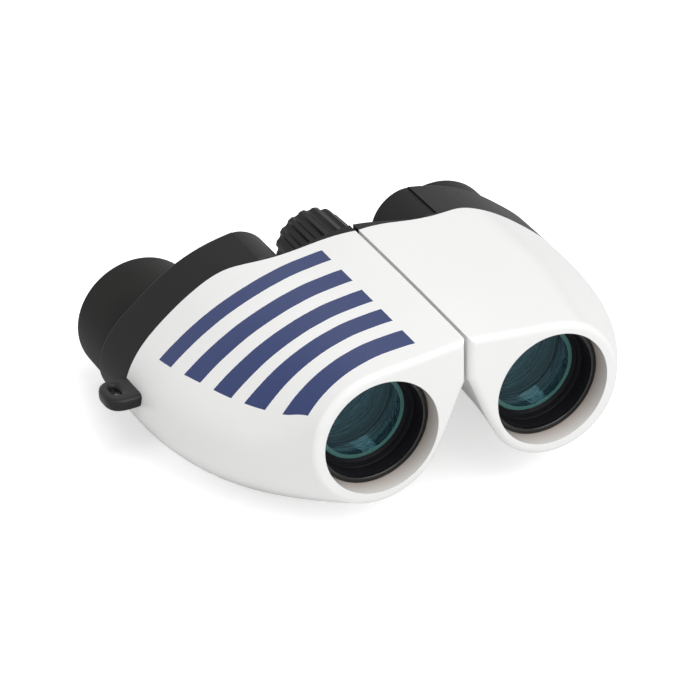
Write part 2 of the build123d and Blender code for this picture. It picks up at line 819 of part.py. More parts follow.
with BuildPart() as prism_plate:
    with BuildSketch(at(prism_plate_front)):
        add(half_outline(prism_plate_front, wall + prism_relief))
        with Locations(hinge_centre):
            Circle(hinge_block_radius + knuckle_gap, mode=Mode.SUBTRACT)
        with Locations(*[(beam.X, beam.Y) for beam in (beam_in, beam_middle, beam_out)]):
            Circle(plate_hole_radius, mode=Mode.SUBTRACT)
        with Locations(*post_spots):
            Circle(post_screw_radius, mode=Mode.SUBTRACT)
        with Locations(*cover_screw_spots):
            Circle(shell_boss_radius + knuckle_gap, mode=Mode.SUBTRACT)
    extrude(amount=-prism_plate_thickness)
    add(strap_slots.part, mode=Mode.SUBTRACT)
    add(behind_parting.part, mode=Mode.SUBTRACT)

with BuildPart() as right_prism_plate:
    add(prism_plate.part)
    add(lug_room.part, mode=Mode.SUBTRACT)
    add(lug_notch.part, mode=Mode.SUBTRACT)

with BuildPart() as plate_screws:
    for spot in post_spots:
        add(rod(spot, prism_plate_front - screw_head, prism_plate_front, screw_head_radius))
        add(rod(spot, prism_plate_front, plate_back + post_screw_length - wall, post_screw_radius))

pieces["left_prism_plate"] = prism_plate.part
pieces["right_prism_plate"] = mirror(right_prism_plate.part, about=Plane.YZ)
pair("plate_screws", plate_screws.part)

# ---------------------------------------------------------------- eyepieces

field_lens_back = field_stop_back + field_lens_thickness
spacer_front = face_depth(field_lens_back, -eyepiece_bulge, eyepiece_lens_radius, spacer_bore)
spacer_back = face_depth(eye_lens_front, eyepiece_bulge, eyepiece_lens_radius, spacer_bore)
eye_lens_back = eye_lens_front + eye_lens_thickness

with BuildPart() as eyepiece_tube:
    add(rod(eyepiece_centre, eyepiece_front, eyepiece_back, eyepiece_radius))
    add(rod(eyepiece_centre, eyepiece_front, field_stop_front, spacer_bore), mode=Mode.SUBTRACT)
    add(rod(eyepiece_centre, field_stop_front, eyepiece_back, eyepiece_bore), mode=Mode.SUBTRACT)

pair("eyepiece_tube", eyepiece_tube.part)
fitted = eyepiece_lens_radius
eye_ring_back = eye_lens_back + eye_ring_thickness
pair("field_stop", rod(eyepiece_centre, field_stop_front, field_stop_back, fitted, field_stop_bore))
pair("field_lens", lens(eyepiece_centre, fitted, field_stop_back, 0, field_lens_back, -eyepiece_bulge))
pair("lens_spacer", rod(eyepiece_centre, spacer_front, spacer_back, fitted, spacer_bore))
pair("eye_lens", lens(eyepiece_centre, fitted, eye_lens_front, eyepiece_bulge, eye_lens_back, 0))
pair("eye_ring", rod(eyepiece_centre, eye_lens_back, eye_ring_back, fitted, eye_ring_bore))

collar = turned(
    eyepiece_centre,
    (boss_radius + running, eyecup_front),
    (eyecup_grip - running, eyecup_front),
    (eyecup_grip - running, collar_back),
    (eyecup_grip - running - collar_wall, collar_back),
    (eyecup_grip - running - collar_wall, collar_web_back),
    (eyepiece_radius + running, collar_web_back),
    (eyepiece_radius + running, collar_web_front),
    (boss_radius + running, collar_web_front),
)
pieces["left_eyepiece_collar"] = collar
pieces["dioptre_ring"] = mirror(collar, about=Plane.YZ)

with BuildPart() as eyecup:
    add(rod(eyepiece_centre, eyecup_front, eyecup_back, eyecup_radius))
    grip_back = eyecup_floor - eyecup_floor_thickness
    hollow_radius = eyecup_radius - eyecup_rim_wall
    add(rod(eyepiece_centre, eyecup_front, grip_back, eyecup_grip), mode=Mode.SUBTRACT)
    add(rod(eyepiece_centre, eyecup_front, eyecup_back, eyecup_floor_bore), mode=Mode.SUBTRACT)
    add(rod(eyepiece_centre, eyecup_floor, eyecup_back, hollow_radius), mode=Mode.SUBTRACT)
    fillet(faces().sort_by(Axis.Y)[-1].edges(), eyecup_rim_round)

pair("eyecup", eyecup.part)

# ---------------------------------------------------------------- everything onto its place, and out

boxes = [piece.bounding_box() for piece in pieces.values()]
middle_x = (min(box.min.X for box in boxes) + max(box.max.X for box in boxes)) / 2
middle_y = (min(box.min.Y for box in boxes) + max(box.max.Y for box in boxes)) / 2
lowest = min(box.min.Z for box in boxes)

os.makedirs("parts", exist_ok=True)
for name, piece in pieces.items():
    placed = Location((-middle_x, -middle_y, -lowest)) * piece
    placed.label = name
    export_step(placed, f"parts/{name}.step")
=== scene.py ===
"""Looks of a compact pair of reverse-porro binoculars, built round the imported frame."""

import math

import bmesh
import bpy
import numpy as np
from mathutils import Matrix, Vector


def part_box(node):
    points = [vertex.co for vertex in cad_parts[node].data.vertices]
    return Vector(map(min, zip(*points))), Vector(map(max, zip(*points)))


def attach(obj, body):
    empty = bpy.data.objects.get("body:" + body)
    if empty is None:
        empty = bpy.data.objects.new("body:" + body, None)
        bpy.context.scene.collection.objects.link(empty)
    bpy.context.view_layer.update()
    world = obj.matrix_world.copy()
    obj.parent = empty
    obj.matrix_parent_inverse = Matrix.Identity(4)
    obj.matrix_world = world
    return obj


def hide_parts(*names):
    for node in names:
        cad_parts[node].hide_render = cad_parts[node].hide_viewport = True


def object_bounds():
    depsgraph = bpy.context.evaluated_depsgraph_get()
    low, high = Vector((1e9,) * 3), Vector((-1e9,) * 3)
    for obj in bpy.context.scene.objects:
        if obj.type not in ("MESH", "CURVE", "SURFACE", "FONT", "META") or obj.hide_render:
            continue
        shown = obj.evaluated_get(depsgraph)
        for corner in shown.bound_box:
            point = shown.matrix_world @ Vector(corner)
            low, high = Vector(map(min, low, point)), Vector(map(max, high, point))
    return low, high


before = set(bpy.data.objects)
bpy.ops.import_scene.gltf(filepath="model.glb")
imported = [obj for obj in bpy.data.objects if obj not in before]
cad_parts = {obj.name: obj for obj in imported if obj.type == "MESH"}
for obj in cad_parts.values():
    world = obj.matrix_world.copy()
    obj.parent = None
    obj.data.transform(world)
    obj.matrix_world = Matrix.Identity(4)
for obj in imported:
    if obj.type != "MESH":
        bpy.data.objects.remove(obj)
solid_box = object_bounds()


# ---------------------------------------------------------------- front shells
# Each half's body is one injection moulding of glossy white ABS, polished in the tool, with the
# hood round the objective and the hinge knuckles in one piece.  Five navy stripes are screen
# printed across the user's right half before the halves are put together.


def linear(code):
    """Linear colour of an sRGB hex code: the inverse of the sRGB curve, channel by channel."""
    share = np.array([int(code[i : i + 2], 16) for i in (1, 3, 5)]) / 255
    value = np.where(share <= 0.04045, share / 12.92, ((share + 0.055) / 1.055) ** 2.4)
    return (*value.tolist(), 1.0)


def put(tree, kind, feeds=None, **settings):
    """Adds a node with its settings; feeds gives inputs a value or another node's output."""
    made = tree.nodes.new(kind)
    for name, value in settings.items():
        setattr(made, name, value)
    for place, value in (feeds or {}).items():
        if isinstance(value, bpy.types.NodeSocket):
            tree.links.new(value, made.inputs[place])
        else:
            made.inputs[place].default_value = value
    return made


def surface(name, **settings):
    """New material, its node tree, its shader with plain settings, and the object's coordinates."""
    made = bpy.data.materials.new(name)
    made.use_nodes = True
    tree = made.node_tree
    tree.nodes.clear()
    plain = {key.replace("_", " "): value for key, value in settings.items()}
    shader = put(tree, "ShaderNodeBsdfPrincipled", plain)
    put(tree, "ShaderNodeOutputMaterial", {"Surface": shader.outputs["BSDF"]})
    return made, tree, shader, put(tree, "ShaderNodeTexCoord").outputs["Object"]


def skin(node, body, material):
    """Smooth skin of a solid: its loose triangles share corners, and fold only past a crease angle."""
    crease = 32
    same_corner = 2e-7
    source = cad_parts[node].data
    place = np.empty(len(source.vertices) * 3)
    source.vertices.foreach_get("co", place)
    corner = np.empty(len(source.loops), int)
    source.loops.foreach_get("vertex_index", corner)
    key = np.round(place.reshape(-1, 3) / same_corner).astype(np.int64)
    _, first, same = np.unique(key, axis=0, return_index=True, return_inverse=True)
    faces = same.ravel()[corner].reshape(-1, 3)
    whole = (np.diff(np.sort(faces, axis=1), axis=1) > 0).all(axis=1)
    mesh = bpy.data.meshes.new(node + ".skin")
    mesh.from_pydata(place.reshape(-1, 3)[first].tolist(), [], faces[whole].tolist())
    mesh.shade_smooth()
    mesh.set_sharp_from_angle(angle=math.radians(crease))
    mesh.materials.append(material)
    piece = bpy.data.objects.new(node + ".skin", mesh)
    bpy.context.scene.collection.objects.link(piece)
    piece.modifiers.new("flat_faces_lead", "WEIGHTED_NORMAL").keep_sharp = True
    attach(piece, body)
    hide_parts(node)


# Glossy ABS: a clear reflection, a little soft, over a neutral white, with the very shallow
# waviness of a moulded wall about every 9 mm.  In the bore of the hood the white is overlaid with
# painted shade: a warmer grey that darkens with depth towards the tube.  That painted shade goes to
# all that lies nearer to the objective's axis than the bore, so a small patch on the inner flank of the
# shell takes it too.
front = solid_box[0][1]
hinge_x = sum(corner[0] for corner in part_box("hinge_tube")) / 2
eye_line = sum(corner[2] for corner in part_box("left_objective_tube")) / 2
objective_x = sum(corner[0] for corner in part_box("left_objective_tube")) / 2
bore_limit = 0.01156
bore_depth = 0.0045
shell_white, tree, shader, place = surface("abs_gloss_moulded_white", Roughness=0.2, IOR=1.5)
tone = put(tree, "ShaderNodeTexNoise", {"Vector": place, "Scale": 1 / 0.020, "Detail": 2.0})
white = put(
    tree,
    "ShaderNodeMix",
    {0: tone.outputs["Fac"], 6: linear("#EEEEED"), 7: linear("#F3F3F2")},
    data_type="RGBA",
)
centred = put(
    tree, "ShaderNodeVectorMath", {0: place, 1: (hinge_x, front, eye_line)}, operation="SUBTRACT"
)
folded = put(tree, "ShaderNodeVectorMath", {0: centred.outputs[0]}, operation="ABSOLUTE")
flat = put(tree, "ShaderNodeVectorMath", {0: folded.outputs[0], 1: (1, 0, 1)}, operation="MULTIPLY")
off_axis = put(
    tree,
    "ShaderNodeVectorMath",
    {0: flat.outputs[0], 1: (objective_x - hinge_x, 0, 0)},
    operation="DISTANCE",
)
in_bore = put(
    tree, "ShaderNodeMath", {0: off_axis.outputs["Value"], 1: bore_limit}, operation="LESS_THAN"
)
inward = put(tree, "ShaderNodeSeparateXYZ", {0: centred.outputs[0]})
toward_tube = put(
    tree, "ShaderNodeMapRange", {0: inward.outputs[1], 1: 0.0, 2: bore_depth, 3: 0.0, 4: 1.0}
)
# painted shade in the hood's bore: a warm grey that darkens with depth towards the tube
bore_painted_shade = put(
    tree,
    "ShaderNodeMix",
    {0: toward_tube.outputs[0], 6: linear("#E6E3E0"), 7: linear("#BDB1A8")},
    data_type="RGBA",
)
wall = put(
    tree,
    "ShaderNodeMix",
    {0: in_bore.outputs[0], 6: white.outputs[2], 7: bore_painted_shade.outputs[2]},
    data_type="RGBA",
    name="wall",
)
tree.links.new(wall.outputs[2], shader.inputs["Base Color"])
sink = put(tree, "ShaderNodeTexNoise", {"Vector": place, "Scale": 1 / 0.009, "Detail": 1.0})
wave = put(
    tree, "ShaderNodeBump", {"Height": sink.outputs["Fac"], "Strength": 0.04, "Distance": 0.0002}
)
tree.links.new(wave.outputs["Normal"], shader.inputs["Normal"])

# The same moulding with its print: navy ink with a fine screen grain of about 0.35 mm.  The bands
# lie at set depths behind the front face, drift a little across the half, and end in a straight
# line beside the hinge and in a curve along the shoulder of the shell.  Drift and end height are
# in millimetres, against the distance from the hinge and the depth.
band_edges = (4.4, 9.4, 13.1, 17.8, 20.9, 25.6, 29.3, 34.0, 38.1, 42.3)
band_inner_end = 8.3
band_reach = 50
drift_across = (
    (8, 0.3), (11, 0.75), (15, 0.85), (20.5, 0.1), (26, -0.6), (32, -0.65), (38, -0.2), (44, 0),
)
end_height = (
    (3, 6.6), (4.4, 6.3), (9.5, 4.5), (13.2, 3.85), (18, 3.2), (22, 2.8), (30, 2.2), (38, 1.4),
    (44, 0.9),
)

shell_printed = shell_white.copy()
shell_printed.name = "abs_gloss_moulded_white_screen_printed"
tree = shell_printed.node_tree
shader = next(n for n in tree.nodes if n.type == "BSDF_PRINCIPLED")
place = next(n for n in tree.nodes if n.type == "TEX_COORD").outputs["Object"]
wall = tree.nodes["wall"]
axes = put(tree, "ShaderNodeSeparateXYZ", {0: place})


def curve_of(points, value, low, high):
    """Node output that gives, in metres, the height at a value of a curve through points.

    The value, low and high are in metres, and the points and the heights' limits in millimetres.
    """
    lowest, tallest = -1, 7
    share = put(tree, "ShaderNodeMapRange", {0: value, 1: low, 2: high, 3: 0.0, 4: 1.0})
    bend = put(tree, "ShaderNodeFloatCurve", {1: share.outputs[0]})
    reach = (high - low) * 1000
    line = bend.mapping.curves[0]
    while len(line.points) < len(points):
        line.points.new(0.5, 0.5)
    for point, (along, height) in zip(line.points, points):
        rise = (height - lowest) / (tallest - lowest)
        point.location = ((along - points[0][0]) / abs(reach), rise)
    bend.mapping.update()
    back_to_metres = {0: bend.outputs[0], 1: 0.0, 2: 1.0, 3: lowest / 1000, 4: tallest / 1000}
    return put(tree, "ShaderNodeMapRange", back_to_metres).outputs[0]


drift = curve_of(drift_across, axes.outputs[0], hinge_x - 0.008, hinge_x - 0.044)
depth = put(tree, "ShaderNodeMath", {0: axes.outputs[1], 1: drift}, operation="SUBTRACT")
share = put(
    tree,
    "ShaderNodeMapRange",
    {0: depth.outputs[0], 1: front, 2: front + band_reach / 1000, 3: 0.0, 4: 1.0},
)
bands = put(tree, "ShaderNodeValToRGB", {0: share.outputs[0]})
bands.color_ramp.interpolation = "CONSTANT"
bands.color_ramp.elements[0].color = (0, 0, 0, 1)
bands.color_ramp.elements[1].position = band_edges[0] / band_reach
for count, edge in enumerate(band_edges[1:]):
    bands.color_ramp.elements.new(edge / band_reach).color = (count % 2,) * 3 + (1,)
outer_end = curve_of(end_height, axes.outputs[1], front + 0.003, front + 0.044)
above = put(tree, "ShaderNodeMath", {0: axes.outputs[2], 1: eye_line}, operation="SUBTRACT")
inside_end = put(
    tree, "ShaderNodeMath", {0: above.outputs[0], 1: outer_end}, operation="GREATER_THAN"
)
beside_hinge = put(
    tree,
    "ShaderNodeMath",
    {0: axes.outputs[0], 1: hinge_x - band_inner_end / 1000},
    operation="LESS_THAN",
)
bounded = put(
    tree,
    "ShaderNodeMath",
    {0: inside_end.outputs[0], 1: beside_hinge.outputs[0]},
    operation="MULTIPLY",
)
printed = put(
    tree, "ShaderNodeMath", {0: bounded.outputs[0], 1: bands.outputs[0]}, operation="MULTIPLY"
)
grain = put(tree, "ShaderNodeTexNoise", {"Vector": place, "Scale": 1 / 0.00035, "Detail": 3.0})
navy = put(
    tree,
    "ShaderNodeMix",
    {0: grain.outputs["Fac"], 6: linear("#14285A"), 7: linear("#1E3674")},
    data_type="RGBA",
)
inked = put(
    tree,
    "ShaderNodeMix",
    {0: printed.outputs[0], 6: wall.outputs[2], 7: navy.outputs[2]},
    data_type="RGBA",
)
tree.links.new(inked.outputs[2], shader.inputs["Base Color"])

skin("left_front_shell", "left_half", shell_white)
skin("right_front_shell", "right_half", shell_printed)


# ---------------------------------------------------------------- strap lug
# The ear for a wrist cord is a thick little moulding of satin black ABS, pushed through the wall
# of the user's right shell and held by a head inside it, with a slot for the cord.

# Satin ABS: a broad soft highlight, broken by a spark-eroded texture of about 0.3 mm.
lug_black, tree, shader, place = surface(
    "abs_satin_moulded_black", IOR=1.5, Specular_IOR_Level=0.2
)
grit = put(tree, "ShaderNodeTexNoise", {"Vector": place, "Scale": 1 / 0.0003, "Detail": 2.0})
shade = put(
    tree,
    "ShaderNodeMix",
    {0: grit.outputs["Fac"], 6: linear("#1C1C1E"), 7: linear("#272728")},
    data_type="RGBA",
)
tree.links.new(shade.outputs[2], shader.inputs["Base Color"])
dull = put(tree, "ShaderNodeMapRange", {0: grit.outputs["Fac"], 3: 0.30, 4: 0.42})
tree.links.new(dull.outputs[0], shader.inputs["Roughness"])
pits = put(
    tree, "ShaderNodeBump", {"Height": grit.outputs["Fac"], "Strength": 0.25, "Distance": 0.00004}
)
tree.links.new(pits.outputs["Normal"], shader.inputs["Normal"])


def ring_of(name, outer, inner, middle, thickness, fullness, material, body, stands_for):
    """Rounded loop between two outlines of (x, y) points, in metres, at a middle height.

    Across the loop the section is a superellipse from the inner to the outer outline: its points go
    as cos^fullness over the width and sin^fullness over the thickness.
    """
    turn = np.linspace(0, 2 * np.pi, 40, endpoint=False)
    wide = np.sign(np.cos(turn)) * np.abs(np.cos(turn)) ** fullness
    high = np.sign(np.sin(turn)) * np.abs(np.sin(turn)) ** fullness
    centre, reach = (outer + inner) / 2, (outer - inner) / 2
    level = centre[:, None] + reach[:, None] * wide[None, :, None]
    rise = np.broadcast_to(middle + thickness / 2 * high, level.shape[:2])
    grid = np.concatenate((level, rise[:, :, None]), axis=-1)
    index = np.arange(grid.shape[0] * grid.shape[1]).reshape(grid.shape[:2])
    ahead = np.roll(index, -1, axis=0)
    quads = np.stack(
        (index, ahead, np.roll(ahead, -1, axis=1), np.roll(index, -1, axis=1)), axis=-1
    )
    mesh = bpy.data.meshes.new(name)
    mesh.from_pydata(grid.reshape(-1, 3).tolist(), [], quads.reshape(-1, 4).tolist())
    mesh.shade_smooth()
    mesh.materials.append(material)
    piece = bpy.data.objects.new(name, mesh)
    bpy.context.scene.collection.objects.link(piece)
    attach(piece, body)
    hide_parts(*stands_for)


def egg(centre, sizes, power, turn):
    """Superellipse outline: x and y go as cos and sin of the turn, each raised to 2 / power."""
    x = np.sign(np.cos(turn)) * np.abs(np.cos(turn)) ** (2 / power)
    y = np.sign(np.sin(turn)) * np.abs(np.sin(turn)) ** (2 / power)
    return np.stack((centre[0] + sizes[0] * x, centre[1] + sizes[1] * y), axis=-1)


ear_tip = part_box("strap_lug")[0][0]
ear_root = hinge_x - 0.0448
ear_depth = front + 0.04515
ear_half_width = 0.00425
ear_squareness = 2.8
ear_middle = eye_line - 0.0062
ear_thickness = 0.0026
ear_fullness = 0.62
slot_centre = (hinge_x - 0.0505, front + 0.0456)
slot_sizes = (0.0008, 0.0016)
slot_squareness = 2.4
turn = np.linspace(0, 2 * np.pi, 128, endpoint=False)
ear_centre = ((ear_tip + ear_root) / 2, ear_depth)
ear_sizes = ((ear_root - ear_tip) / 2, ear_half_width)
ear = egg(ear_centre, ear_sizes, ear_squareness, turn)
slot_edge = egg(slot_centre, slot_sizes, slot_squareness, turn)
ring_of(
    "moulded_strap_ear", ear, slot_edge, ear_middle, ear_thickness, ear_fullness,
    lug_black, "right_half", ["strap_lug"],
)


# ---------------------------------------------------------------- hinge
# The halves turn on a ground steel tube that runs through their knuckles, with hard washers
# between the knuckles and a thin plated nut on the back end.


def metal(name, pale, dark, smooth, rough, grain, stretch=(1, 1, 1)):
    """Bare metal: colour and roughness follow a noise as wide as the grain, drawn out along an axis."""
    made, tree, shader, place = surface(name, Metallic=1.0)
    drawn = put(tree, "ShaderNodeMapping", {"Vector": place, "Scale": stretch})
    lines = put(
        tree, "ShaderNodeTexNoise", {"Vector": drawn.outputs[0], "Scale": 1 / grain, "Detail": 3.0}
    )
    shade = put(
        tree,
        "ShaderNodeMix",
        {0: lines.outputs["Fac"], 6: linear(dark), 7: linear(pale)},
        data_type="RGBA",
    )
    tree.links.new(shade.outputs[2], shader.inputs["Base Color"])
    dull = put(tree, "ShaderNodeMapRange", {0: lines.outputs["Fac"], 3: smooth, 4: rough})
    tree.links.new(dull.outputs[0], shader.inputs["Roughness"])
    return made


def dress(slot, material, *names):
    """Gives solids whose shape is right their finish."""
    for name in names:
        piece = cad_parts[name]
        piece.data.materials.clear()
        piece.data.materials.append(material)


# Ground steel is bright with fine lines round the axis; zinc plating is greyer and cloudier.
ground_steel = metal("steel_ground", "#C4C4C8", "#A2A2A8", 0.18, 0.32, 0.0004, (1, 8, 1))
zinc_steel = metal("steel_zinc_plated", "#A6A8AC", "#84868C", 0.30, 0.45, 0.0008)
dress("tube_steel", ground_steel, "hinge_tube", "focus_spindle")
dress("screw_steel", zinc_steel, "hinge_washers", "hinge_nut", "spindle_clip", "wheel_screw")


# ---------------------------------------------------------------- objectives
# A cemented doublet sits in a black anodised cell behind a threaded ring, and the cell slides in
# a fixed tube to focus.  Behind it a stepped cone keeps stray light off the inside of the shell.


def softened(corners, cuts, steps=7):
    """Closed profile whose corners become parabolas, which leave each side a cut's length away."""
    corner = np.array(corners, float)
    before = np.roll(corner, 1, axis=0) - corner
    after = np.roll(corner, -1, axis=0) - corner
    cut = np.broadcast_to(np.array(cuts, float), len(corner))[:, None]
    start = corner + before / np.linalg.norm(before, axis=1)[:, None] * cut
    end = corner + after / np.linalg.norm(after, axis=1)[:, None] * cut
    t = np.linspace(0, 1, steps)[:, None, None]
    bend = (1 - t) ** 2 * start + 2 * t * (1 - t) * corner + t**2 * end
    return bend.transpose(1, 0, 2).reshape(-1, 2)


def turned(name, axis, profile, material, body, stands_for, turns=144, waves=None):
    """Closed profile of (radius, depth) in millimetres carried once round the line along y at axis.

    A point at angle a lies at x = cx + r cos a and z = cz + r sin a; waves may change r with r,
    depth and angle.  Doubled points at the axis and at rounded corners are joined.
    """
    angle = np.linspace(0, 2 * np.pi, turns, endpoint=False)
    radius, depth = (np.repeat(line[:, None], turns, axis=1) for line in np.array(profile).T)
    if waves is not None:
        radius = waves(radius, depth, angle)
    grid = np.stack(
        (
            axis[0] + radius * np.cos(angle) / 1000,
            front + depth / 1000,
            axis[1] + radius * np.sin(angle) / 1000,
        ),
        axis=-1,
    )
    index = np.arange(grid.shape[0] * turns).reshape(-1, turns)
    ahead = np.roll(index, -1, axis=0)
    quads = np.stack(
        (index, ahead, np.roll(ahead, -1, axis=1), np.roll(index, -1, axis=1)), axis=-1
    )
    mesh = bpy.data.meshes.new(name)
    mesh.from_pydata(grid.reshape(-1, 3).tolist(), [], quads.reshape(-1, 4).tolist())
    tidy = bmesh.new()
    tidy.from_mesh(mesh)
    bmesh.ops.remove_doubles(tidy, verts=tidy.verts, dist=2e-6)
    bmesh.ops.delete(tidy, geom=[e for e in tidy.edges if not e.link_faces], context="EDGES")
    bmesh.ops.recalc_face_normals(tidy, faces=tidy.faces)
    tidy.to_mesh(mesh)
    tidy.free()
    mesh.shade_smooth()
    mesh.set_sharp_from_angle(angle=math.radians(28))
    mesh.materials.append(material)
    piece = bpy.data.objects.new(name, mesh)
    bpy.context.scene.collection.objects.link(piece)
    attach(piece, body)
    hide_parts(*stands_for)


def place_of(node):
    """Axis (x, z) in metres of a round solid, and its radius, front and back depth in millimetres."""
    low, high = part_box(node)
    axis = ((low[0] + high[0]) / 2, (low[2] + high[2]) / 2)
    return axis, (high[0] - low[0]) * 500, (low[1] - front) * 1000, (high[1] - front) * 1000


def bulged(vertex, bulge, radius, steps=24):
    """Half section of a round lens face: an arc from the axis to its rim, a bulge behind the vertex."""
    r = np.linspace(0, radius, steps)
    curve = (radius**2 + bulge**2) / (2 * bulge)
    y = vertex + curve - np.copysign(np.sqrt(curve**2 - r**2), bulge)
    return np.stack((r, y), axis=-1)


# Black anodising over blasted aluminium: it looks like dry dark enamel, with turned rings about
# 0.15 mm apart, drawn at 0.9 mm so that they show.
anodised, tree, shader, place = surface(
    "aluminium_blasted_anodised_black", IOR=1.5, Specular_IOR_Level=0.12
)
rings = put(tree, "ShaderNodeMapping", {"Vector": place, "Scale": (0.2, 6.0, 0.2)})
lines = put(
    tree, "ShaderNodeTexNoise", {"Vector": rings.outputs[0], "Scale": 1 / 0.0009, "Detail": 2.0}
)
shade = put(
    tree,
    "ShaderNodeMix",
    {0: lines.outputs["Fac"], 6: linear("#161519"), 7: linear("#1D1C21")},
    data_type="RGBA",
)
tree.links.new(shade.outputs[2], shader.inputs["Base Color"])
dull = put(tree, "ShaderNodeMapRange", {0: lines.outputs["Fac"], 3: 0.5, 4: 0.62})
tree.links.new(dull.outputs[0], shader.inputs["Roughness"])

# Moulded flat black baffle, drawn as a mid grey to stand in for the little light that reaches it
# through the lens: painted highlights on crests 0.95 mm apart over painted shade in the roots, and the
# lens tints both.
ridge_pitch = 0.95
baffle_black, tree, shader, place = surface("abs_flat_black_ridged", IOR=1.48)
dust = put(tree, "ShaderNodeTexNoise", {"Vector": place, "Scale": 1 / 0.0006, "Detail": 3.0})
shade = put(
    tree,
    "ShaderNodeMix",
    {0: dust.outputs["Fac"], 6: linear("#74868F"), 7: linear("#879AA5")},
    data_type="RGBA",
)
turns_of_ridge = put(
    tree,
    "ShaderNodeTexWave",
    {"Vector": place, "Scale": 2 * math.pi / 20 / (ridge_pitch / 1000), "Distortion": 0.0},
    bands_direction="Y",
)
# painted highlight on each crest and painted shade in each root, one band per ridge pitch
crest_painted_light = put(
    tree,
    "ShaderNodeMix",
    {0: turns_of_ridge.outputs["Fac"], 6: linear("#44525E"), 7: shade.outputs[2]},
    data_type="RGBA",
)
tree.links.new(crest_painted_light.outputs[2], shader.inputs["Base Color"])
dull = put(tree, "ShaderNodeMapRange", {0: dust.outputs["Fac"], 3: 0.42, 4: 0.6})
tree.links.new(dull.outputs[0], shader.inputs["Roughness"])

# Crown glass with a multilayer coating: clear, with a blue-green cast in what it reflects.
objective_glass, tree, shader, place = surface(
    "crown_glass_coated_blue_green",
    Base_Color=linear("#B9D6DA"),
    IOR=1.52,
    Transmission_Weight=1.0,
    Specular_Tint=linear("#8CCBDC"),
)
haze = put(tree, "ShaderNodeTexNoise", {"Vector": place, "Scale": 1 / 0.003, "Detail": 1.0})
veil = put(tree, "ShaderNodeMapRange", {0: haze.outputs["Fac"], 3: 0.0, 4: 0.03})
tree.links.new(veil.outputs[0], shader.inputs["Roughness"])

# The lens is ground round its edge and bevelled at its rim, a satin glass that scatters more light
# than its face; its lighter teal is painted light, standing in for the light the rim catches from
# inside the tube.
ground_glass, tree, shader, place = surface("crown_glass_ground_edge", IOR=1.52)
frost = put(tree, "ShaderNodeTexNoise", {"Vector": place, "Scale": 1 / 0.0005, "Detail": 2.0})
# painted light: the teal of the rim stands in for the light it catches through the lens
shade = put(
    tree,
    "ShaderNodeMix",
    {0: frost.outputs["Fac"], 6: linear("#4A7A76"), 7: linear("#5B8E89")},
    data_type="RGBA",
)
tree.links.new(shade.outputs[2], shader.inputs["Base Color"])
dull = put(tree, "ShaderNodeMapRange", {0: frost.outputs["Fac"], 3: 0.3, 4: 0.45})
tree.links.new(dull.outputs[0], shader.inputs["Roughness"])

# The bead in the mouth of the tube is smooth black rubber, whose round edge shows one thin glint.
bead_rubber, tree, shader, place = surface("nitrile_rubber_smooth_black", IOR=1.5)
skin_marks = put(tree, "ShaderNodeTexNoise", {"Vector": place, "Scale": 1 / 0.002, "Detail": 2.0})
shade = put(
    tree,
    "ShaderNodeMix",
    {0: skin_marks.outputs["Fac"], 6: linear("#0B0B0C"), 7: linear("#121213")},
    data_type="RGBA",
)
tree.links.new(shade.outputs[2], shader.inputs["Base Color"])
dull = put(tree, "ShaderNodeMapRange", {0: skin_marks.outputs["Fac"], 3: 0.16, 4: 0.24})
tree.links.new(dull.outputs[0], shader.inputs["Roughness"])

sides = ("left", "right")
lens_bulge = 0.5
bevel_width = 0.75
glass_forward = 1.1
ring_wall = 0.55
ring_clearance = 0.05
flange_thickness = 0.2
hairline = 0.02
thread_radius = 8.5
thread_outside = 8.88
thread_height = 0.04
bead_inner, bead_outer = 10.4, 11.42
bead_front, bead_back = 3.9, 4.48
baffle_steps = 9
baffle_wide, baffle_narrow = 8.9, 4.6
baffle_wall = 0.6
baffle_lip = 0.3
baffle_flange = 1.2
baffle_shoulder = 3.5
baffle_ridge_height = 0.12


def ridged(inner, start, stop, height):
    """Saw-toothed bore: from start to stop the radius grows by the height over each pitch and drops
    back; inner gives the least radius at a depth."""
    slope = 0.96
    count = int((stop - start) / ridge_pitch)
    root = start + np.arange(count) * ridge_pitch
    tooth = np.stack((root, root + slope * ridge_pitch), axis=1).ravel()
    rise = np.tile((0.0, height), count)
    return np.stack((inner(np.repeat(root, 2)) + rise, tooth), axis=-1)


def stepped(depth, start, stop):
    """Bore of the cone at a depth: equal drops from wide to narrow, one after each equal length."""
    along = (depth - start) / (stop - start)
    drops = np.floor(along * (baffle_steps + 1)).clip(0, baffle_steps)
    return baffle_wide + (baffle_narrow - baffle_wide) * drops / baffle_steps


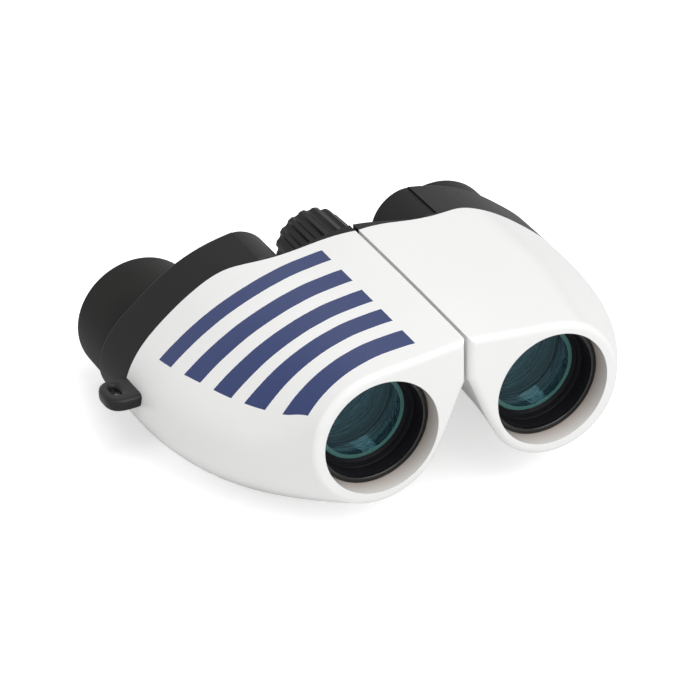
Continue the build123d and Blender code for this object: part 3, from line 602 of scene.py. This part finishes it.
for side in sides:
    half = side + "_half"
    slider = side + "_objective"
    dress("tube_black", anodised, side + "_objective_tube", side + "_objective_cell")

    # the ring is one funnel from the lens out to the rim of the cell, which its flange covers
    axis, outer, _, ring_back = place_of(side + "_objective_ring")
    cell_axis, cell_rim, cell_front, cell_back = place_of(side + "_objective_cell")
    lens_axis, radius, crown_front, _ = place_of(side + "_crown_lens")
    inner = outer - ring_wall
    funnel = outer - ring_clearance
    rim = cell_rim - ring_clearance
    flange = cell_front - hairline
    vertex = crown_front - glass_forward
    glass_rim = vertex + lens_bulge * (inner / outer) ** 2
    profile = softened(
        (
            (inner, ring_back), (funnel, ring_back), (funnel, flange),
            (rim, flange), (rim, flange - flange_thickness), (inner, glass_rim - 0.08),
        ),
        (0.02, 0.02, 0.02, 0.02, 0.08, 0.05),
    )
    turned(
        side + "_retaining_ring", axis, profile, anodised, slider,
        [side + "_objective_ring"],
    )

    # both glasses are cemented, so one body of glass stands for them
    back = place_of(side + "_flint_lens")[3]
    face = bulged(vertex, lens_bulge, radius, 96)
    clear = face[face[:, 0] < inner - 0.06]
    edge = clear[-1, 0]
    profile = np.concatenate((clear, ((edge, back), (0.0, back))))
    turned(
        side + "_doublet", lens_axis, profile, objective_glass, slider,
        [side + "_crown_lens", side + "_flint_lens"],
    )

    # the ground edge runs back round the clear glass from a bevel at the rim of its front face
    bevel = clear[clear[:, 0] > edge - bevel_width]
    outside = (
        (inner - 0.01, glass_rim), (inner - 0.01, ring_back + hairline),
        (radius - hairline, ring_back + hairline), (radius - hairline, back),
        (edge + 0.01, back), (edge + 0.01, glass_rim),
    )
    profile = np.concatenate((bevel - (0, 0.06), outside, bevel[::-1] - (0, 0.01)))
    turned(side + "_lens_edge", lens_axis, profile, ground_glass, slider, [])

    # the cell's bore behind the glass has ridges of the baffle's pitch, but lower
    thread_front, thread_back = back + ring_clearance, cell_back - ring_clearance
    bore = ridged(
        lambda depth: np.full(len(depth), thread_radius), thread_front, thread_back, thread_height
    )
    sleeve = ((thread_outside, thread_back), (thread_outside, thread_front))
    profile = np.concatenate((bore, sleeve))
    turned(side + "_cell_thread", cell_axis, profile, baffle_black, slider, [])

    # a rounded black bead closes the joint between the hood and the objective tube
    profile = softened(
        (
            (bead_inner, bead_front), (bead_outer, bead_front),
            (bead_outer, bead_back), (bead_inner, bead_back),
        ),
        (0.4, 0.2, 0.02, 0.02),
    )
    tube_axis = place_of(side + "_objective_tube")[0]
    turned(side + "_tube_bead", tube_axis, profile, bead_rubber, half, [])

    # the cone narrows in equal steps, and every step carries the fine ridges
    axis, rim, near, cone_back = place_of(side + "_baffle")
    cone_front = near + baffle_lip
    bore = ridged(
        lambda depth: stepped(depth, cone_front, cone_back), cone_front, cone_back, baffle_ridge_height
    )
    shell = (
        (baffle_narrow + baffle_wall, cone_back), (baffle_wide + baffle_wall, near + baffle_shoulder),
        (baffle_wide + baffle_wall, near + baffle_flange), (rim, near + baffle_flange), (rim, near),
    )
    profile = np.concatenate((((baffle_wide, near),), bore, shell))
    turned(
        side + "_ridged_baffle", axis, profile, baffle_black, half,
        [side + "_baffle"],
    )


# ---------------------------------------------------------------- prisms
# Two roofed prisms a side fold the beam outwards.  Each lies on a die-cast plate under a sprung
# steel strap, and three screws hold the plate to the shell.

# Prism glass is polished on its working faces and has a faint grey-green body colour.
prism_glass, tree, shader, place = surface(
    "borosilicate_prism_glass", Roughness=0.02, IOR=1.52, Transmission_Weight=1.0
)
veil = put(tree, "ShaderNodeTexNoise", {"Vector": place, "Scale": 1 / 0.006, "Detail": 1.0})
shade = put(
    tree,
    "ShaderNodeMix",
    {0: veil.outputs["Fac"], 6: linear("#DCEBE4"), 7: linear("#E8F2EE")},
    data_type="RGBA",
)
tree.links.new(shade.outputs[2], shader.inputs["Base Color"])
cast_alloy = metal("zinc_alloy_die_cast", "#AEB0B2", "#8B8D90", 0.38, 0.55, 0.0012)
spring_steel = metal("spring_steel_rolled", "#B4B4B8", "#96969C", 0.25, 0.38, 0.0005, (1, 1, 6))
for side in sides:
    dress("prism_glass", prism_glass, side + "_rear_prism", side + "_front_prism")
    dress("plate_alloy", cast_alloy, side + "_prism_plate")
    dress("spring_steel", spring_steel, side + "_prism_straps")
    dress("screw_steel", zinc_steel, side + "_plate_screws")


# ---------------------------------------------------------------- rear covers
# The eyepiece end of each half closes with a moulded cover in fine matt black ABS that butts on
# the white shell along one curved parting, and is screwed from behind.

# Fine matt texture: grains of about 0.25 mm that scatter a broad grey highlight.
cover_black, tree, shader, place = surface(
    "abs_fine_matt_moulded_black", IOR=1.49, Specular_IOR_Level=0.16
)
grit = put(tree, "ShaderNodeTexNoise", {"Vector": place, "Scale": 1 / 0.00025, "Detail": 2.0})
shade = put(
    tree,
    "ShaderNodeMix",
    {0: grit.outputs["Fac"], 6: linear("#111113"), 7: linear("#1B1B1C")},
    data_type="RGBA",
)
tree.links.new(shade.outputs[2], shader.inputs["Base Color"])
dull = put(tree, "ShaderNodeMapRange", {0: grit.outputs["Fac"], 3: 0.40, 4: 0.52})
tree.links.new(dull.outputs[0], shader.inputs["Roughness"])
pits = put(
    tree, "ShaderNodeBump", {"Height": grit.outputs["Fac"], "Strength": 0.3, "Distance": 0.00003}
)
tree.links.new(pits.outputs["Normal"], shader.inputs["Normal"])
for side in sides:
    skin(side + "_rear_cover", side + "_half", cover_black)
    dress("screw_steel", zinc_steel, side + "_cover_screws")


# ---------------------------------------------------------------- focusing
# A ribbed wheel on the end of a steel spindle drives a brass nut, and two stamped arms carry the
# nut's travel to the objective cells.  The wheel is hollow, with a cap pressed in over its screw.

brass = metal("brass_turned", "#D8B878", "#B8955A", 0.22, 0.36, 0.0004, (1, 8, 1))
stamped_alloy = metal("aluminium_stamped", "#B8BABC", "#989A9E", 0.30, 0.44, 0.0009)
dress("nut_brass", brass, "focus_nut")
dress("arm_alloy", stamped_alloy, "left_focus_arm", "right_focus_arm")

# Moulded wheel: satin black, with a soft streak of light along each rib.
wheel_black, tree, shader, place = surface(
    "abs_satin_ribbed_black", IOR=1.5, Specular_IOR_Level=0.2
)
grit = put(tree, "ShaderNodeTexNoise", {"Vector": place, "Scale": 1 / 0.0004, "Detail": 2.0})
shade = put(
    tree,
    "ShaderNodeMix",
    {0: grit.outputs["Fac"], 6: linear("#0D0D0F"), 7: linear("#161618")},
    data_type="RGBA",
)
tree.links.new(shade.outputs[2], shader.inputs["Base Color"])
dull = put(tree, "ShaderNodeMapRange", {0: grit.outputs["Fac"], 3: 0.33, 4: 0.45})
tree.links.new(dull.outputs[0], shader.inputs["Roughness"])

rib_count = 16
valley = 6.65
flute = 0.95
wheel_front_radius, wheel_back_radius = 7.9, 7.3
bore_radius, hub_radius, hollow_radius = 1.5, 3.4, 4.95
web_front, web_back = 58.0, 62.6
cap_radius, cap_recess, ledge_radius = 5.5, 1.5, 5.0
screw_radius, spindle_back = 0.8, 62.0
axis, _, near, far = place_of("focus_wheel")
profile = softened(
    (
        (bore_radius, near), (hub_radius, near), (hub_radius, web_front),
        (hollow_radius, web_front), (hollow_radius, near), (wheel_front_radius, near),
        (wheel_back_radius, far), (cap_radius, far), (cap_radius, far - cap_recess),
        (ledge_radius, far - cap_recess), (ledge_radius, web_back), (screw_radius, web_back),
        (screw_radius, spindle_back), (bore_radius, spindle_back),
    ),
    (0.1, 0.1, 0.1, 0.1, 0.15, 0.7, 0.7, 0.12, 0.05, 0.05, 0.05, 0.05, 0.05, 0.05),
)
# the long outer side gets points of its own, between its front corner and its back corner
front_corners, points_per_corner = 6, 7
split = front_corners * points_per_corner
run_radius = np.linspace(wheel_front_radius, wheel_back_radius, 24)
outer_run = np.stack((run_radius, np.linspace(near, far, 24)), axis=-1)[2:-2]
profile = np.concatenate((profile[:split], outer_run, profile[split:]))


def ribs(radius, depth, angle):
    """Rounded flutes: a circle stands off the axis at every rib's pitch, and the surface takes the
    smaller of its own radius and the near side of that circle, blended over 0.1 mm."""
    pitch = 2 * np.pi / rib_count
    off = (angle + pitch / 2) % pitch - pitch / 2
    stand = valley + flute
    chord = np.clip(flute**2 - (stand * np.sin(off)) ** 2, 0, None)
    near_side = np.where(chord > 0, stand * np.cos(off) - np.sqrt(chord), radius + 5)
    soft = 0.10
    blended = -soft * np.logaddexp(-radius / soft, -near_side / soft)
    return np.where(radius > valley - 0.8, blended, radius)


turned(
    "ribbed_focus_wheel", axis, profile, wheel_black, "focus_wheel",
    ["focus_wheel"], rib_count * 20, ribs,
)

# the cap is a dished disc with one fine groove inside its edge
axis, outer, near, far = place_of("wheel_cap")
profile = softened(
    (
        (0, near), (outer, near), (outer, far), (outer - 0.7, far), (outer - 0.85, far - 0.12),
        (outer - 1.0, far), (0, far - 0.15),
    ),
    (0, 0.05, 0.18, 0.04, 0.04, 0.04, 0),
)
turned("pressed_wheel_cap", axis, profile, wheel_black, "focus_wheel", ["wheel_cap"])


# ---------------------------------------------------------------- eyepieces
# Each eyepiece is an anodised tube with a field stop and two coated lenses.  A fixed collar stands
# round the left one, and the right one is fed in and out by the dioptre ring round it.

# Eye lenses carry a thinner violet coating over clear glass.
eyepiece_glass, tree, shader, place = surface(
    "crown_glass_coated_violet",
    Base_Color=linear("#E4ECF2"),
    Roughness=0.0,
    IOR=1.52,
    Transmission_Weight=1.0,
    Specular_Tint=linear("#B9A8F0"),
)
haze = put(tree, "ShaderNodeTexNoise", {"Vector": place, "Scale": 1 / 0.003, "Detail": 1.0})
wave = put(
    tree, "ShaderNodeBump", {"Height": haze.outputs["Fac"], "Strength": 0.01, "Distance": 0.00005}
)
tree.links.new(wave.outputs["Normal"], shader.inputs["Normal"])

eye_bulge = 1.2
for side in sides:
    carrier = "left_half" if side == "left" else "right_eyepiece"
    dress(
        "tube_black", anodised,
        side + "_eyepiece_tube", side + "_field_stop", side + "_lens_spacer", side + "_eye_ring",
    )
    axis, radius, near, far = place_of(side + "_field_lens")
    flat_face = ((0.0, near), (radius, near))
    profile = np.concatenate((flat_face, bulged(far, -eye_bulge, radius)[::-1]))
    turned(
        side + "_ground_field_lens", axis, profile, eyepiece_glass, carrier,
        [side + "_field_lens"],
    )
    axis, radius, near, far = place_of(side + "_eye_lens")
    profile = np.concatenate((bulged(near, eye_bulge, radius), ((radius, far), (0.0, far))))
    turned(
        side + "_ground_eye_lens", axis, profile, eyepiece_glass, carrier,
        [side + "_eye_lens"],
    )
dress("ring_black", wheel_black, "left_eyepiece_collar", "dioptre_ring")


# ---------------------------------------------------------------- eyecups
# Soft black rubber cups are stretched over the collars.  Each has a rounded lip towards the eye
# and a floor that stops light beside the eyepiece tube.

# Moulded rubber: very matt, a touch grey, with a bloom in patches and a grain of about 0.2 mm.
eyecup_rubber, tree, shader, place = surface(
    "rubber_moulded_matt_black", IOR=1.45, Specular_IOR_Level=0.15
)
grit = put(tree, "ShaderNodeTexNoise", {"Vector": place, "Scale": 1 / 0.0002, "Detail": 2.0})
bloom = put(tree, "ShaderNodeTexNoise", {"Vector": place, "Scale": 1 / 0.008, "Detail": 2.0})
shade = put(
    tree,
    "ShaderNodeMix",
    {0: bloom.outputs["Fac"], 6: linear("#121212"), 7: linear("#1E1E1C")},
    data_type="RGBA",
)
tree.links.new(shade.outputs[2], shader.inputs["Base Color"])
dull = put(tree, "ShaderNodeMapRange", {0: grit.outputs["Fac"], 3: 0.46, 4: 0.6})
tree.links.new(dull.outputs[0], shader.inputs["Roughness"])
pits = put(
    tree, "ShaderNodeBump", {"Height": grit.outputs["Fac"], "Strength": 0.3, "Distance": 0.00003}
)
tree.links.new(pits.outputs["Normal"], shader.inputs["Normal"])

grip_wall, lip_wall = 0.85, 1.6
floor_bore, floor_thickness, hollow_depth = 9.7, 1.0, 5.7
for side in sides:
    carrier = "left_half" if side == "left" else "dioptre_ring"
    axis, outer, near, far = place_of(side + "_eyecup")
    grip, hollow = outer - grip_wall, outer - lip_wall
    floor_back = far - hollow_depth
    floor_front = floor_back - floor_thickness
    profile = softened(
        (
            (grip, near), (outer, near), (outer, far), (hollow, far),
            (hollow, floor_back), (floor_bore, floor_back), (floor_bore, floor_front),
            (grip, floor_front),
        ),
        (0.1, 0.15, 0.75, 0.75, 0.5, 0.3, 0.1, 0.1),
    )
    turned(
        side + "_rubber_eyecup", axis, profile, eyecup_rubber, carrier,
        [side + "_eyecup"],
    )


# ---------------------------------------------------------------- stage
# The pair lies on a plain white table under one broad soft lamp above its front, a weaker one
# from the left, and an even white surround.

# The table is lit white, and seen white where nothing shades it.
table_white, tree, shader, place = surface("paper_white_table", Roughness=0.9)
paper = put(tree, "ShaderNodeTexNoise", {"Vector": place, "Scale": 1 / 0.05, "Detail": 1.0})
shade = put(
    tree,
    "ShaderNodeMix",
    {0: paper.outputs["Fac"], 6: linear("#F3F3F3"), 7: linear("#F5F5F5")},
    data_type="RGBA",
)
tree.links.new(shade.outputs[2], shader.inputs["Base Color"])
ray = put(tree, "ShaderNodeLightPath")
glow = 0.56
seen = put(
    tree, "ShaderNodeMath", {0: ray.outputs["Is Camera Ray"], 1: glow}, operation="MULTIPLY"
)
tree.links.new(seen.outputs[0], shader.inputs["Emission Strength"])
shader.inputs["Emission Color"].default_value = (1, 1, 1, 1)
half_width = 1.5
table_height = -0.00002
corners = ((-1, -1), (1, -1), (1, 1), (-1, 1))
top = bpy.data.meshes.new("table")
top.from_pydata(
    [(x * half_width, y * half_width, table_height) for x, y in corners], [], [(0, 1, 2, 3)]
)
top.materials.append(table_white)
table = bpy.data.objects.new("table", top)
bpy.context.scene.collection.objects.link(table)

surround = bpy.data.worlds.new("white_surround")
surround.use_nodes = True
tree = surround.node_tree
tree.nodes.clear()
ray = put(tree, "ShaderNodeLightPath")
straight = put(
    tree,
    "ShaderNodeMath",
    {0: ray.outputs["Is Camera Ray"], 1: ray.outputs["Is Transmission Ray"]},
    operation="MAXIMUM",
)
clear = put(
    tree,
    "ShaderNodeMath",
    {0: straight.outputs[0], 1: ray.outputs["Is Glossy Ray"]},
    operation="MAXIMUM",
)
surround_light = 0.42
level = put(tree, "ShaderNodeMapRange", {0: clear.outputs[0], 3: surround_light, 4: 1.0})
even = put(tree, "ShaderNodeBackground", {"Color": (1, 1, 1, 1), "Strength": level.outputs[0]})
put(tree, "ShaderNodeOutputWorld", {"Surface": even.outputs[0]})
bpy.context.scene.world = surround


def lamp(name, place, aim, width, power):
    """Square soft lamp that faces an aim point: its -z axis lies along the line between them."""
    light = bpy.data.lights.new(name, "AREA")
    light.size = width
    light.energy = power
    holder = bpy.data.objects.new(name, light)
    out = np.array(place, float) - aim
    out /= np.linalg.norm(out)
    across = np.cross((0, 0, 1), out)
    across /= np.linalg.norm(across)
    turn = np.eye(4)
    turn[:3] = np.column_stack((across, np.cross(out, across), out, place))
    holder.matrix_world = Matrix(turn.tolist())
    bpy.context.scene.collection.objects.link(holder)


middle = (0.0, 0.0, 0.02)
lamp("overhead_softbox", (0.12, -0.37, 0.68), middle, 0.7, 4.8)
lamp("left_fill", (-0.75, -0.10, 0.30), middle, 0.5, 0.5)

# The camera looks down on the front from the user's right, through a long lens.
azimuth, elevation, roll = np.radians((26.272, 31.123, -1.0072))
aim = np.array((-0.020978, -0.0381, 0.042347))
distance = 0.6658
level_reach = np.cos(elevation)
out = np.array(
    (-np.sin(azimuth) * level_reach, -np.cos(azimuth) * level_reach, np.sin(elevation))
)
across = np.array((np.cos(azimuth), -np.sin(azimuth), 0))
upward = np.cross(out, across)
view = np.eye(4)
view[:3, 0] = np.cos(roll) * across + np.sin(roll) * upward
view[:3, 1] = np.cos(roll) * upward - np.sin(roll) * across
view[:3, 2] = out
view[:3, 3] = aim + distance * out
lens = bpy.data.cameras.new("long_lens")
lens.lens = 193.45
lens.sensor_width = 36
camera = bpy.data.objects.new("camera", lens)
camera.matrix_world = Matrix(view.tolist())
bpy.context.scene.collection.objects.link(camera)
bpy.context.scene.camera = camera
bpy.context.scene.view_settings.view_transform = "Standard"
